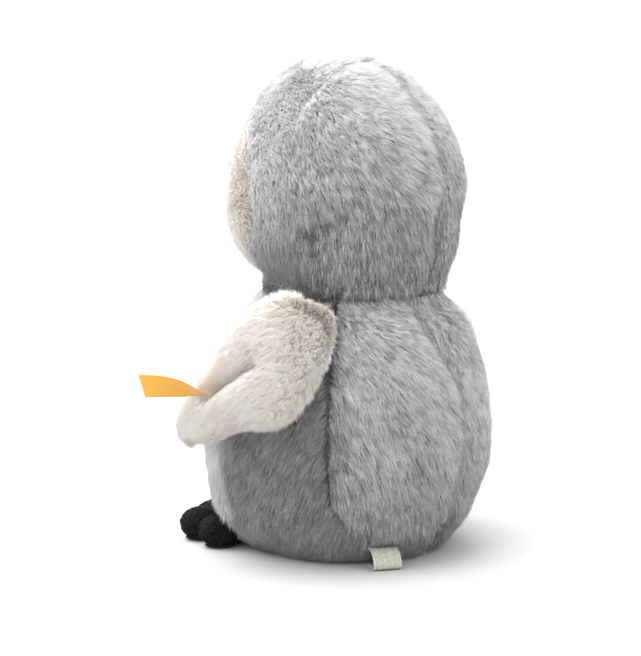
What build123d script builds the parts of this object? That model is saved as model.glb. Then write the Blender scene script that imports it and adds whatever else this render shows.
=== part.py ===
from build123d import *
from math import acos, atan2, cos, degrees, hypot, radians, sin
import os

# A sitting plush penguin, in millimetres. It faces -Y, its left side is +X, and +Z is up.
# The origin is the centre of the flat base that it sits on.
# An azimuth is measured about +Z from the front: 0 is the front, 90 the left side, 180 the back.

os.makedirs("parts", exist_ok=True)

# ---- cloth and clearances
PLUSH = 7.0  # backing and pile together, so the outer faces are where the pile ends
VELOUR = 2.2  # the feet and the beak
GAP = 0.2  # between neighbours sewn into one body
FILL_GAP = 1.0  # between stuffing and the cloth round it
RUN = 0.4  # between neighbours that move on each other

# ---- outlines turned about the upright axis, as (radius, height), from the bottom up
BASE_RADIUS = 42.0
BODY_BULGE = [(52.0, 8.5), (60.0, 23.0), (66.2, 50.0), (62.5, 81.0), (53.0, 104.0)]
JAW = (48.7, 135.7)
HEAD_RADIUS = 53.9  # the head is half an ellipse above its widest height
HEAD_WIDE_Z = 160.0
TOP_Z = 224.5
SKULL_SPANS = 5
BASE_PANEL_RADIUS = 37.8
BASE_PANEL_THICK = 3.0
BASE_HEM = 38.0  # inner radius of the body panels where they meet the base panel

# ---- neck: the head rides on a ball of stuffing, and a crease leaves it room to nod
NECK_Z = 88.0  # centre of the ball, where both neck axes cross
BALL_RADIUS = 51.6
BODY_RIM_ANGLE = 30.0  # elevations seen from the ball's centre
HEAD_RIM_ANGLE = 39.0
OPENING_ANGLE = 48.0
FILL_OPENING_ANGLE = 50.0  # the head's stuffing stays clear of its rim
THROAT_Z = 111.0  # the body's lining is a straight throat above this height
NECK_PLUG_Z = 109.0

# ---- seams, as azimuths
BELLY_SEAM = 65.0
SIDE_SEAM = 117.0
HEAD_SIDE_SEAM = 97.0

# ---- face
MASK_Z = 161.0
MASK_HALF_WIDTH = 52.3
MASK_HALF_HEIGHT = 43.5
EYE_AZIMUTH = 24.0
EYE_Z = 170.0
EYE_SEAT_RADIUS = 52.6
EYE_TILT = 7.0  # the eye looks this much upwards, square to the cheek
EYE_RADIUS = 4.5
EYE_DOME = 2.9
EYE_CURVE = 4.7  # radius of the eye's domed face
EYE_SINK = 1.2  # how far the eye's flat back is sunk into the pile
SHANK_RADIUS = 1.5
SHANK_LENGTH = 10.0
WASHER_RADIUS = 5.0
WASHER_DEPTH = 7.6
WASHER_THICK = 1.5
BORE_SLACK = 0.1
BEAK_Z = 157.0
BEAK_RADIUS = 7.5
BEAK_BASE_Y = -48.0
BEAK_TIP_Y = -66.0
BEAK_WAIST = 0.82  # the beak's half width midway, as a share of the width at its base

# ---- wings: a leaf seen from the side, as (forward, height), bent round the body
WING_OUTLINE = [
    (-8.0, 116.5),
    (-28.0, 112.0),
    (-31.0, 88.0),
    (-22.0, 68.0),
    (0.0, 60.0),
    (22.0, 51.5),
    (35.0, 55.0),
    (36.0, 65.0),
    (21.0, 84.0),
    (12.0, 105.0),
]
WING_BACKING = [(66.2, 50.0), (62.5, 81.0), (53.0, 104.0), (42.0, 120.0)]
WING_GAP = 0.5
WING_THICK = 13.0
WING_PLUSH = 4.3
WING_HEM = 4.0
WING_FRONT_AZIMUTH = 45.0
WING_FLARE = 7.0  # how far the wings stand away from the flanks, in degrees
HINGE_MID = (53.9, 103.6)  # the root seam's hinge line touches the flank here
HINGE_SLOPE = -0.594  # radius lost for each millimetre up
WING_BELOW = 12.0  # how far the backing outline is run on below its lowest point

# ---- yellow ribbon in the left wing's front seam
RIBBON_ROOT = (82.6, -12.0, 77.8)
RIBBON_HEADING = 37.0  # azimuth of the ribbon's length
RIBBON_RISE = 4.4
RIBBON_LENGTH = 29.0
RIBBON_WIDTH = 10.0
RIBBON_PINCH = 3.0
RIBBON_SPREAD = 13.0  # where the pinched end reaches the full width
RIBBON_THICK = 0.8

# ---- care label in the side seam at the floor
LABEL_AZIMUTH = 144.0
LABEL_ROOT_RADIUS = 46.0
LABEL_LENGTH = 12.0
LABEL_WIDTH = 12.5
LABEL_Z = 0.3
LABEL_THICK = 1.1

# ---- feet
FOOT_AZIMUTH = 33.0
TOES = [(21.0, 65.5), (34.0, 69.5), (47.5, 59.5)]  # azimuth and radius of each toe's centre
TOE_RADIUS = 8.2
HEEL_RADIUS = 12.0
HEEL_AT = 51.0
FOOT_HEIGHT = 16.0
FOOT_LIFT = 15.0
FOOT_HINGE = (46.0, 1.0)

# ---- bean bag in the base
POUCH_FLAT = 27.0
POUCH_LOW = 4.0
POUCH_HIGH = 24.0
POUCH_BULGE = 37.0
POUCH_CLOTH = 0.8
BEAD_RADIUS = 3.4
BEAD_PITCH = 7.4
BEAD_LAYERS = [9.8, 17.6]
BEAD_RINGS = 4

SIDES = {"left": 1, "right": -1}


def radial(azimuth):
    """Unit vector that points out of the figure at an azimuth."""
    return Vector(sin(radians(azimuth)), -cos(radians(azimuth)), 0)


def at(azimuth, radius, height):
    """Point at an azimuth, a radius and a height."""
    return radial(azimuth) * radius + Vector(0, 0, height)


def upright(azimuth):
    """Plane through the axis whose x is the radius at this azimuth and whose y is the height."""
    out = radial(azimuth)
    return Plane(origin=(0, 0, 0), x_dir=out, z_dir=out.cross(Vector(0, 0, 1)))


def ball(radius, angle):
    """Point of the neck ball, as (radius, height), at an elevation seen from its centre."""
    return (radius * cos(radians(angle)), NECK_Z + radius * sin(radians(angle)))


def outward(points, distance):
    """An outline moved straight out of the surface; a negative distance moves it in."""
    moved = []
    for i, (r, z) in enumerate(points):
        before = points[max(i - 1, 0)]
        after = points[min(i + 1, len(points) - 1)]
        run, rise = after[0] - before[0], after[1] - before[1]
        length = hypot(run, rise)
        moved.append((r + distance * rise / length, z - distance * run / length))
    return moved


def body_outline(distance):
    """The body from its base to the neck rim, moved out by a distance."""
    rim = ball(BALL_RADIUS, BODY_RIM_ANGLE)
    whole = [(BASE_RADIUS, 0.0)] + BODY_BULGE + [rim]
    return outward(whole, distance)


def jaw_outline(distance):
    """The head from the neck rim to its widest height, moved out by a distance."""
    rim = ball(BALL_RADIUS + RUN, HEAD_RIM_ANGLE)
    return outward([rim, JAW], distance) + [(HEAD_RADIUS + distance, HEAD_WIDE_Z)]


def skull(distance):
    """The head's upper half, through points of an ellipse from the widest height to the crown."""
    reach, rise = HEAD_RADIUS + distance, TOP_Z - HEAD_WIDE_Z + distance
    turns = [radians(90 * i / SKULL_SPANS) for i in range(SKULL_SPANS)]
    points = [(reach * cos(t), HEAD_WIDE_Z + rise * sin(t)) for t in turns]
    return Spline(*points, (0, HEAD_WIDE_Z + rise), tangents=[(0, 1), (-1, 0)])


def body_section():
    """Lines round the cut face of the body's plush."""
    outer = body_outline(0)
    opening = ball(BALL_RADIUS, OPENING_ANGLE)
    middle = ball(BALL_RADIUS, (BODY_RIM_ANGLE + OPENING_ANGLE) / 2)
    inner = body_outline(-PLUSH)[1:-1]
    throat = (opening[0] + GAP, THROAT_Z)
    Spline(*outer)
    ThreePointArc(outer[-1], middle, opening)
    Line(opening, throat)
    Spline(throat, *reversed(inner), (BASE_HEM, BASE_PANEL_THICK))
    Polyline((BASE_HEM, BASE_PANEL_THICK), (BASE_HEM, 0), (BASE_RADIUS, 0))


def head_section():
    """Lines round the cut face of the head's plush."""
    outer = jaw_outline(0)
    seat = BALL_RADIUS + RUN
    opening = ball(seat, OPENING_ANGLE)
    middle = ball(seat, (HEAD_RIM_ANGLE + OPENING_ANGLE) / 2)
    Spline(*outer)
    skull(0)
    Line((0, TOP_Z), (0, TOP_Z - PLUSH))
    skull(-PLUSH)
    Polyline(*reversed(jaw_outline(-PLUSH)[1:]), opening)
    ThreePointArc(opening, middle, outer[0])


def turned(outline):
    """Solid of revolution inside an outline, closed by a flat end at its top and bottom."""
    with BuildPart() as solid:
        with BuildSketch(Plane.XZ):
            with BuildLine():
                Spline(*outline)
                (first_radius, low), (last_radius, high) = outline[0], outline[-1]
                Polyline((last_radius, high), (0, high), (0, low), (first_radius, low))
            make_face()
        revolve(axis=Axis.Z)
    return solid.part


body_envelope = turned(body_outline(RUN))
with BuildPart() as head_room:
    with BuildSketch(Plane.XZ):
        with BuildLine():
            jaw = jaw_outline(GAP)
            Spline(*jaw)
            skull(GAP)
            Polyline((0, TOP_Z + GAP), (0, jaw[0][1]), jaw[0])
        make_face()
    revolve(axis=Axis.Z)
head_envelope = head_room.part

# ==== torso

with BuildPart() as base_panel:
    with BuildSketch():
        Circle(BASE_PANEL_RADIUS)
    extrude(amount=BASE_PANEL_THICK)
base_panel.part.label = "base_panel"
export_step(base_panel.part, "parts/base_panel.step")

with BuildPart() as belly_panel:
    with BuildSketch(upright(-BELLY_SEAM)):
        with BuildLine():
            body_section()
        make_face()
    revolve(axis=Axis.Z, revolution_arc=2 * BELLY_SEAM)
belly_panel.part.label = "belly_panel"
export_step(belly_panel.part, "parts/belly_panel.step")

for side, sign in SIDES.items():
    with BuildPart() as side_panel:
        with BuildSketch(upright(sign * BELLY_SEAM)):
            with BuildLine():
                body_section()
            make_face()
        revolve(axis=Axis.Z, revolution_arc=sign * (SIDE_SEAM - BELLY_SEAM))
    side_panel.part.label = f"{side}_side_panel"
    export_step(side_panel.part, f"parts/{side}_side_panel.step")

    with BuildPart() as back_panel:
        with BuildSketch(upright(sign * SIDE_SEAM)):
            with BuildLine():
                body_section()
            make_face()
        revolve(axis=Axis.Z, revolution_arc=sign * (180 - SIDE_SEAM))
    back_panel.part.label = f"{side}_back_panel"
    export_step(back_panel.part, f"parts/{side}_back_panel.step")


def pouch_section(cloth):
    """Lines round half of the bean bag, drawn in by the cloth's thickness."""
    low, high = POUCH_LOW + cloth, POUCH_HIGH - cloth
    ThreePointArc((POUCH_FLAT, low), (POUCH_BULGE - cloth, (low + high) / 2), (POUCH_FLAT, high))
    Polyline((POUCH_FLAT, high), (0, high), (0, low), (POUCH_FLAT, low))


with BuildPart() as pellet_pouch:
    with BuildSketch(Plane.XZ):
        with BuildLine():
            pouch_section(0)
        make_face()
        with BuildLine():
            pouch_section(POUCH_CLOTH)
        make_face(mode=Mode.SUBTRACT)
    revolve(axis=Axis.Z)
pellet_pouch.part.label = "pellet_pouch"
export_step(pellet_pouch.part, "parts/pellet_pouch.step")

with BuildPart() as pellets:
    for height in BEAD_LAYERS:
        with Locations((0, 0, height)):
            Sphere(BEAD_RADIUS)
        for ring in range(1, BEAD_RINGS):
            with Locations((0, 0, height)):
                with PolarLocations(ring * BEAD_PITCH, 6 * ring):
                    Sphere(BEAD_RADIUS)
pellets.part.label = "pellets"
export_step(pellets.part, "parts/pellets.step")

with BuildPart() as body_stuffing:
    with BuildSketch(Plane.XZ):
        with BuildLine():
            lining = body_outline(-PLUSH - FILL_GAP)[1:-1]
            foot_of_fill = (BASE_HEM - FILL_GAP, BASE_PANEL_THICK + GAP)
            fill_edge = Spline(foot_of_fill, *lining)
            Polyline(fill_edge @ 1, (0, (fill_edge @ 1).Y), (0, foot_of_fill[1]), foot_of_fill)
        make_face()
    revolve(axis=Axis.Z)
    with BuildSketch(Plane.XZ):
        with BuildLine():
            pouch_section(-GAP)
        make_face()
    revolve(axis=Axis.Z, mode=Mode.SUBTRACT)
body_stuffing.part.label = "body_stuffing"
export_step(body_stuffing.part, "parts/body_stuffing.step")

with BuildPart() as care_label:
    with BuildSketch(Plane.XY.offset(LABEL_Z)):
        out = degrees(atan2(radial(LABEL_AZIMUTH).Y, radial(LABEL_AZIMUTH).X))
        with Locations(at(LABEL_AZIMUTH, LABEL_ROOT_RADIUS + LABEL_LENGTH / 2, 0)):
            Rectangle(LABEL_LENGTH, LABEL_WIDTH, rotation=out)
    extrude(amount=LABEL_THICK)
care_label.part.label = "care_label"
export_step(care_label.part, "parts/care_label.step")

# ==== neck

with BuildPart() as neck_stuffing:
    with BuildSketch(Plane.XZ):
        with BuildLine():
            plug_radius = ball(BALL_RADIUS, OPENING_ANGLE)[0] - RUN
            shoulder = degrees(acos(plug_radius / BALL_RADIUS))
            dome = ThreePointArc(
                ball(BALL_RADIUS, shoulder),
                ball(BALL_RADIUS, (shoulder + 90) / 2),
                (0, NECK_Z + BALL_RADIUS),
            )
            Polyline(dome @ 1, (0, NECK_PLUG_Z), (plug_radius, NECK_PLUG_Z), dome @ 0)
        make_face()
    revolve(axis=Axis.Z)
neck_stuffing.part.label = "neck_stuffing"
export_step(neck_stuffing.part, "parts/neck_stuffing.step")

# ==== head


def eye_plane(sign):
    """Plane on the cheek with its z along the eye's shank, outwards."""
    azimuth = sign * EYE_AZIMUTH
    look = radial(azimuth) * cos(radians(EYE_TILT)) + Vector(0, 0, sin(radians(EYE_TILT)))
    across = radial(azimuth + 90)
    return Plane(origin=at(azimuth, EYE_SEAT_RADIUS, EYE_Z), x_dir=across, z_dir=look)


for side, sign in SIDES.items():
    seat = eye_plane(sign)

    with BuildPart() as face_panel:
        with BuildSketch(upright(0)):
            with BuildLine():
                head_section()
            make_face()
        revolve(axis=Axis.Z, revolution_arc=sign * HEAD_SIDE_SEAM)
        with BuildSketch(Plane.XZ):
            with Locations((0, MASK_Z)):
                Ellipse(MASK_HALF_WIDTH, MASK_HALF_HEIGHT)
        extrude(amount=2 * MASK_HALF_WIDTH, mode=Mode.INTERSECT)
        with BuildSketch(seat):
            Circle(SHANK_RADIUS + BORE_SLACK)
        extrude(amount=SHANK_LENGTH, both=True, mode=Mode.SUBTRACT)
        with BuildSketch(seat.offset(-EYE_SINK - GAP)):
            Circle(EYE_RADIUS + GAP)
        extrude(amount=SHANK_LENGTH, mode=Mode.SUBTRACT)
    face_panel.part.label = f"{side}_face_panel"
    export_step(face_panel.part, f"parts/{side}_face_panel.step")

    with BuildPart() as crown_panel:
        with BuildSketch(upright(0)):
            with BuildLine():
                head_section()
            make_face()
        revolve(axis=Axis.Z, revolution_arc=sign * HEAD_SIDE_SEAM)
        with BuildSketch(Plane.XZ):
            with Locations((0, MASK_Z)):
                Ellipse(MASK_HALF_WIDTH + GAP / 2, MASK_HALF_HEIGHT + GAP / 2)
        extrude(amount=2 * MASK_HALF_WIDTH, mode=Mode.SUBTRACT)
    crown_panel.part.label = f"{side}_crown_panel"
    export_step(crown_panel.part, f"parts/{side}_crown_panel.step")

    with BuildPart() as head_back_panel:
        with BuildSketch(upright(sign * HEAD_SIDE_SEAM)):
            with BuildLine():
                head_section()
            make_face()
        revolve(axis=Axis.Z, revolution_arc=sign * (180 - HEAD_SIDE_SEAM))
    head_back_panel.part.label = f"{side}_head_back_panel"
    export_step(head_back_panel.part, f"parts/{side}_head_back_panel.step")

    with BuildPart() as eye:
        with BuildSketch(Plane(origin=seat.origin, x_dir=seat.x_dir, z_dir=-seat.y_dir)):
            with BuildLine():
                centre = EYE_DOME - EYE_CURVE
                edge = degrees(acos(EYE_RADIUS / EYE_CURVE))
                dome = CenterArc((0, centre), EYE_CURVE, edge, 90 - edge)
                Polyline(
                    dome @ 1,
                    (0, -SHANK_LENGTH),
                    (SHANK_RADIUS, -SHANK_LENGTH),
                    (SHANK_RADIUS, -EYE_SINK),
                    (EYE_RADIUS, -EYE_SINK),
                    dome @ 0,
                )
            make_face()
        revolve(axis=Axis(seat.origin, seat.z_dir))
    eye.part.label = f"{side}_eye"
    export_step(eye.part, f"parts/{side}_eye.step")

    with BuildPart() as eye_washer:
        with BuildSketch(seat.offset(-WASHER_DEPTH)):
            Circle(WASHER_RADIUS)
            Circle(SHANK_RADIUS + BORE_SLACK, mode=Mode.SUBTRACT)
        extrude(amount=-WASHER_THICK)
    eye_washer.part.label = f"{side}_eye_washer"
    export_step(eye_washer.part, f"parts/{side}_eye_washer.step")

with BuildPart() as head_stuffing:
    with BuildSketch(Plane.XZ):
        with BuildLine():
            seat_radius = BALL_RADIUS + RUN
            start = ball(seat_radius, FILL_OPENING_ANGLE)
            top_of_neck = (0, NECK_Z + seat_radius)
            middle = ball(seat_radius, (FILL_OPENING_ANGLE + 90) / 2)
            Polyline(start, *jaw_outline(-PLUSH - FILL_GAP)[1:])
            skull(-PLUSH - FILL_GAP)
            Line((0, TOP_Z - PLUSH - FILL_GAP), top_of_neck)
            ThreePointArc(top_of_neck, middle, start)
        make_face()
    revolve(axis=Axis.Z)
    for sign in SIDES.values():
        with BuildSketch(eye_plane(sign).offset(-WASHER_DEPTH - 2 * WASHER_THICK)):
            Circle(WASHER_RADIUS + GAP)
        extrude(amount=WASHER_DEPTH, mode=Mode.SUBTRACT)
head_stuffing.part.label = "head_stuffing"
export_step(head_stuffing.part, "parts/head_stuffing.step")

BEAK_AXIS = Axis((0, 0, BEAK_Z), (0, 1, 0))


def beak_section(cloth):
    """Lines round the left half of the beak seen from above, drawn in by the cloth's thickness."""
    wide = BEAK_RADIUS - cloth
    tip = BEAK_TIP_Y + cloth
    midway = (wide * BEAK_WAIST, (BEAK_BASE_Y + tip) / 2)
    edge = Spline((wide, BEAK_BASE_Y), midway, (0, tip), tangents=[(0, -1), (-1, -0.2)])
    Polyline(edge @ 1, (0, BEAK_BASE_Y), edge @ 0)


for jaw, sign in {"upper": -1, "lower": 1}.items():
    with BuildPart() as beak_panel:
        with BuildSketch(Plane.XY.offset(BEAK_Z)):
            with BuildLine():
                beak_section(0)
            make_face()
            with BuildLine():
                beak_section(VELOUR)
            make_face(mode=Mode.SUBTRACT)
        revolve(axis=BEAK_AXIS, revolution_arc=sign * 180)
        add(head_envelope, mode=Mode.SUBTRACT)
    beak_panel.part.label = f"beak_{jaw}_panel"
    export_step(beak_panel.part, f"parts/beak_{jaw}_panel.step")

with BuildPart() as beak_stuffing:
    with BuildSketch(Plane.XY.offset(BEAK_Z)):
        with BuildLine():
            beak_section(VELOUR + GAP)
        make_face()
    revolve(axis=BEAK_AXIS)
    add(head_envelope, mode=Mode.SUBTRACT)
beak_stuffing.part.label = "beak_stuffing"
export_step(beak_stuffing.part, "parts/beak_stuffing.step")

# ==== wings


def wing_leaf(hem):
    """The wing's outline with each point drawn in by a hem towards the middle of the wing."""
    middle = Vector(*map(sum, zip(*WING_OUTLINE))) / len(WING_OUTLINE)
    edge = [Vector(*point) for point in WING_OUTLINE]
    return [point + (middle - point).normalized() * hem for point in edge]


def wing_layer(inside, outside, hem):
    """One layer of the left wing, between two distances from the flank, drawn in by a hem."""
    low_r, low_z = WING_BACKING[0]
    backing = [(low_r, low_z - WING_BELOW)] + WING_BACKING
    near, far = outward(backing, inside), outward(backing, outside)
    with BuildPart() as layer:
        with BuildSketch(upright(WING_FRONT_AZIMUTH)):
            with BuildLine():
                Spline(*near)
                Line(near[-1], far[-1])
                Spline(*far)
                Line(far[0], near[0])
            make_face()
        reach = SIDE_SEAM - degrees(hem / low_r) - WING_FRONT_AZIMUTH
        revolve(axis=Axis.Z, revolution_arc=reach)
        with BuildSketch(Plane(origin=(0, 0, 0), x_dir=(0, -1, 0), z_dir=(-1, 0, 0))):
            with BuildLine():
                Spline(*wing_leaf(hem), periodic=True)
            make_face()
        extrude(amount=-2 * low_r, mode=Mode.INTERSECT)
    return layer.part


def hinge_point(height):
    """Point of the left wing's hinge line at a height."""
    radius = HINGE_MID[0] + (height - HINGE_MID[1]) * HINGE_SLOPE
    return at(SIDE_SEAM, radius, height)


WING_HINGE = Axis(hinge_point(HINGE_MID[1]), hinge_point(TOP_Z) - hinge_point(0))
WING_MIDDLE = WING_GAP + WING_PLUSH
FILL_LOW = WING_MIDDLE + GAP
FILL_HIGH = WING_THICK - WING_PLUSH

inner_layer = wing_layer(WING_GAP, WING_MIDDLE - GAP, 0.0).rotate(WING_HINGE, WING_FLARE)
outer_layer = wing_layer(WING_MIDDLE, WING_THICK, 0.0).rotate(WING_HINGE, WING_FLARE)
hollow = wing_layer(WING_MIDDLE - GAP, FILL_HIGH, WING_HEM).rotate(WING_HINGE, WING_FLARE)
fill_layer = wing_layer(FILL_LOW, FILL_HIGH - GAP, WING_HEM + GAP).rotate(WING_HINGE, WING_FLARE)

for side, sign in SIDES.items():
    with BuildPart() as wing_inner_panel:
        add(inner_layer if sign > 0 else inner_layer.mirror(Plane.YZ))
    wing_inner_panel.part.label = f"{side}_wing_inner_panel"
    export_step(wing_inner_panel.part, f"parts/{side}_wing_inner_panel.step")

    with BuildPart() as wing_outer_panel:
        add(outer_layer if sign > 0 else outer_layer.mirror(Plane.YZ))
        add(hollow if sign > 0 else hollow.mirror(Plane.YZ), mode=Mode.SUBTRACT)
    wing_outer_panel.part.label = f"{side}_wing_outer_panel"
    export_step(wing_outer_panel.part, f"parts/{side}_wing_outer_panel.step")

    with BuildPart() as wing_stuffing:
        add(fill_layer if sign > 0 else fill_layer.mirror(Plane.YZ))
    wing_stuffing.part.label = f"{side}_wing_stuffing"
    export_step(wing_stuffing.part, f"parts/{side}_wing_stuffing.step")

with BuildPart() as flag_tag:
    along = radial(RIBBON_HEADING)
    face_out = along.cross(Vector(0, 0, 1))
    with BuildSketch(Plane(origin=RIBBON_ROOT, x_dir=along, z_dir=face_out)):
        with BuildLine():
            half = RIBBON_WIDTH / 2
            Polyline(
                (0, -RIBBON_PINCH / 2),
                (RIBBON_SPREAD, -half + RIBBON_RISE / 2),
                (RIBBON_LENGTH, -half + RIBBON_RISE),
                (RIBBON_LENGTH, half + RIBBON_RISE),
                (RIBBON_SPREAD, half + RIBBON_RISE / 2),
                (0, RIBBON_PINCH / 2),
                close=True,
            )
        make_face()
    extrude(amount=RIBBON_THICK / 2, both=True)
flag_tag.part.label = "flag_tag"
export_step(flag_tag.part, "parts/flag_tag.step")

# ==== feet

FOOT_PIVOT = Axis(at(FOOT_AZIMUTH, *FOOT_HINGE), radial(FOOT_AZIMUTH).cross(Vector(0, 0, 1)))
lift_room = body_envelope.rotate(FOOT_PIVOT, -FOOT_LIFT)


def foot_layer(low, high, hem):
    """One layer of the left foot between two heights, drawn in by a hem."""
    with BuildPart() as layer:
        with BuildSketch(Plane.XY.offset(low)):
            for azimuth, radius in TOES:
                with Locations(at(azimuth, radius, 0)):
                    Circle(TOE_RADIUS - hem)
            with Locations(at(FOOT_AZIMUTH, HEEL_AT, 0)):
                Circle(HEEL_RADIUS - hem)
            with BuildLine():
                toes = [at(azimuth, radius, 0) for azimuth, radius in TOES]
                Polyline(at(FOOT_AZIMUTH, HEEL_AT, 0), *toes, close=True)
            make_face()
        extrude(amount=high - low)
        add(body_envelope, mode=Mode.SUBTRACT)
        add(lift_room, mode=Mode.SUBTRACT)
    return layer.part


sole = foot_layer(0, VELOUR, 0)
upper = foot_layer(VELOUR + GAP, FOOT_HEIGHT, 0)
upper_hollow = foot_layer(VELOUR, FOOT_HEIGHT - VELOUR, VELOUR)
foot_fill = foot_layer(VELOUR + GAP, FOOT_HEIGHT - VELOUR - GAP, VELOUR + GAP)

for side, sign in SIDES.items():
    with BuildPart() as foot_sole_panel:
        add(sole if sign > 0 else sole.mirror(Plane.YZ))
    foot_sole_panel.part.label = f"{side}_foot_sole_panel"
    export_step(foot_sole_panel.part, f"parts/{side}_foot_sole_panel.step")

    with BuildPart() as foot_upper_panel:
        add(upper if sign > 0 else upper.mirror(Plane.YZ))
        add(upper_hollow if sign > 0 else upper_hollow.mirror(Plane.YZ), mode=Mode.SUBTRACT)
    foot_upper_panel.part.label = f"{side}_foot_upper_panel"
    export_step(foot_upper_panel.part, f"parts/{side}_foot_upper_panel.step")

    with BuildPart() as foot_stuffing:
        add(foot_fill if sign > 0 else foot_fill.mirror(Plane.YZ))
    foot_stuffing.part.label = f"{side}_foot_stuffing"
    export_step(foot_stuffing.part, f"parts/{side}_foot_stuffing.step")

print("left wing hinge", WING_HINGE.position, WING_HINGE.direction)
print("left foot hinge", FOOT_PIVOT.position, FOOT_PIVOT.direction)
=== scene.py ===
from itertools import product
from math import cos, pi, radians, sin

import bmesh
import bpy
import numpy as np
from mathutils import Matrix, Vector


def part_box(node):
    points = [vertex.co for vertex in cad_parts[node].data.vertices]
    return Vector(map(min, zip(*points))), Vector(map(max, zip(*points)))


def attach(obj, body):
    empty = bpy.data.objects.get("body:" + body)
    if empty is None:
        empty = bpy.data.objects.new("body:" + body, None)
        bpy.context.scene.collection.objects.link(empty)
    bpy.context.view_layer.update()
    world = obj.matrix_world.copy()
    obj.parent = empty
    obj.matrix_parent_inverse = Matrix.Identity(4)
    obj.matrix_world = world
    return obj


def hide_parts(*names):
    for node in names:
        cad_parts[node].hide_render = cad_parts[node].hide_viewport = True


# A sitting plush penguin. Lengths are in millimetres until a mesh is built, which turns them to metres.
# It faces -Y, its left side is +X and +Z is up. An azimuth is measured about +Z from the front:
# 0 is the front, 90 the left side and 180 the back.

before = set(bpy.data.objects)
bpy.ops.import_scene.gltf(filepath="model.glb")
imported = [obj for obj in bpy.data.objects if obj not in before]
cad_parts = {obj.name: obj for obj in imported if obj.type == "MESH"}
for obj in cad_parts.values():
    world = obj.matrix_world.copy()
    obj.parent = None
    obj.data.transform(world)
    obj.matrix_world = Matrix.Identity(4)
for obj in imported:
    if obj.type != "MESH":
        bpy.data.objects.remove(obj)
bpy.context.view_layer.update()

MM = 0.001
SIDES = {"left": 1, "right": -1}

# ---- the camera, at the viewing angle of a catalogue picture from behind the left side
CAMERA_AZIMUTH = 127.0
CAMERA_RISE = 9.0
CAMERA_DISTANCE = 1100.0
CAMERA_TARGET = (-4.6, -19.6, 95.4)
CAMERA_LENS = 133.0


def place_camera():
    """Camera behind the penguin's left side, level with its middle."""
    azimuth, rise = radians(CAMERA_AZIMUTH), radians(CAMERA_RISE)
    back = Vector((sin(azimuth) * cos(rise), -cos(azimuth) * cos(rise), sin(rise)))
    data = bpy.data.cameras.new("camera")
    data.lens = CAMERA_LENS
    camera = bpy.data.objects.new("camera", data)
    camera.location = (Vector(CAMERA_TARGET) + back * CAMERA_DISTANCE) * MM
    camera.rotation_euler = (-back).to_track_quat("-Z", "Y").to_euler()
    bpy.context.scene.collection.objects.link(camera)
    bpy.context.scene.camera = camera


place_camera()

# ==== numbers shared with the CAD model

BODY_OUTLINE = [(42.0, 0.0), (52.0, 8.5), (60.0, 23.0), (66.2, 50.0), (62.5, 81.0), (53.0, 104.0),
                (44.7, 113.8)]
HEAD_RADIUS = 53.9
HEAD_WIDE_Z = 160.0
HEAD_TOP_Z = 224.5
JAW = [(40.4, 120.7), (48.7, 135.7)]
SIDE_SEAM = 117.0
MASK_Z = 161.0
MASK_HALF_WIDTH = 52.3
MASK_HALF_HEIGHT = 43.5


# ==== small tools


def unit(vectors):
    """Vectors scaled to length one."""
    return vectors / np.maximum(np.linalg.norm(vectors, axis=-1, keepdims=True), 1e-9)


def lump(points, size, seed):
    """Smooth random values from -1 to 1 at points, in lumps of a size."""
    lattice = np.random.default_rng(seed).uniform(-1, 1, (32, 32, 32))
    cell = np.asarray(points) / size + 16.3
    low = np.floor(cell).astype(int)
    part = cell - low
    part = part * part * (3 - 2 * part)
    value = np.zeros(len(cell))
    for corner in product((0, 1), repeat=3):
        share = np.prod(np.where(corner, part, 1 - part), axis=1)
        i, j, k = ((low + corner) % 32).T
        value += share * lattice[i, j, k]
    return value


def smooth_line(points, steps=24, closed=False):
    """Catmull-Rom curve through points, as an array with steps points a span."""
    points = np.asarray(points, float)
    if closed:
        padded = np.vstack([points[-1:], points, points[:2]])
    else:
        padded = np.vstack([2 * points[0] - points[1], points, 2 * points[-1] - points[-2]])
    line = []
    for a, b, c, d in zip(padded, padded[1:], padded[2:], padded[3:]):
        t = np.arange(steps)[:, None] / steps
        line.append(0.5 * (2 * b + (c - a) * t + (2 * a - 5 * b + 4 * c - d) * t**2
                           + (3 * b - a - 3 * c + d) * t**3))
    if not closed:
        line.append(points[-1:])
    return np.vstack(line)


def pairs(down, across):
    """Every pair of two lists of numbers, as two arrays with a row for each number of the first."""
    return np.meshgrid(down, across, indexing="ij")


def make_object(name, points, loops, sizes, uv):
    """Mesh object from points in millimetres, the faces' corners in turn, and each face's corner count."""
    mesh = bpy.data.meshes.new(name)
    mesh.vertices.add(len(points))
    mesh.vertices.foreach_set("co", (np.asarray(points) * MM).astype(np.float32).ravel())
    mesh.loops.add(len(loops))
    mesh.loops.foreach_set("vertex_index", np.asarray(loops, np.int32))
    mesh.polygons.add(len(sizes))
    starts = np.concatenate(([0], np.cumsum(sizes)[:-1]))
    mesh.polygons.foreach_set("loop_start", starts.astype(np.int32))
    mesh.polygons.foreach_set("use_smooth", np.ones(len(sizes), bool))
    mesh.update(calc_edges=True)
    layer = mesh.uv_layers.new(name="OFBake")
    layer.data.foreach_set("uv", np.asarray(uv, np.float32).ravel())
    obj = bpy.data.objects.new(name, mesh)
    bpy.context.scene.collection.objects.link(obj)
    return obj


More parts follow.
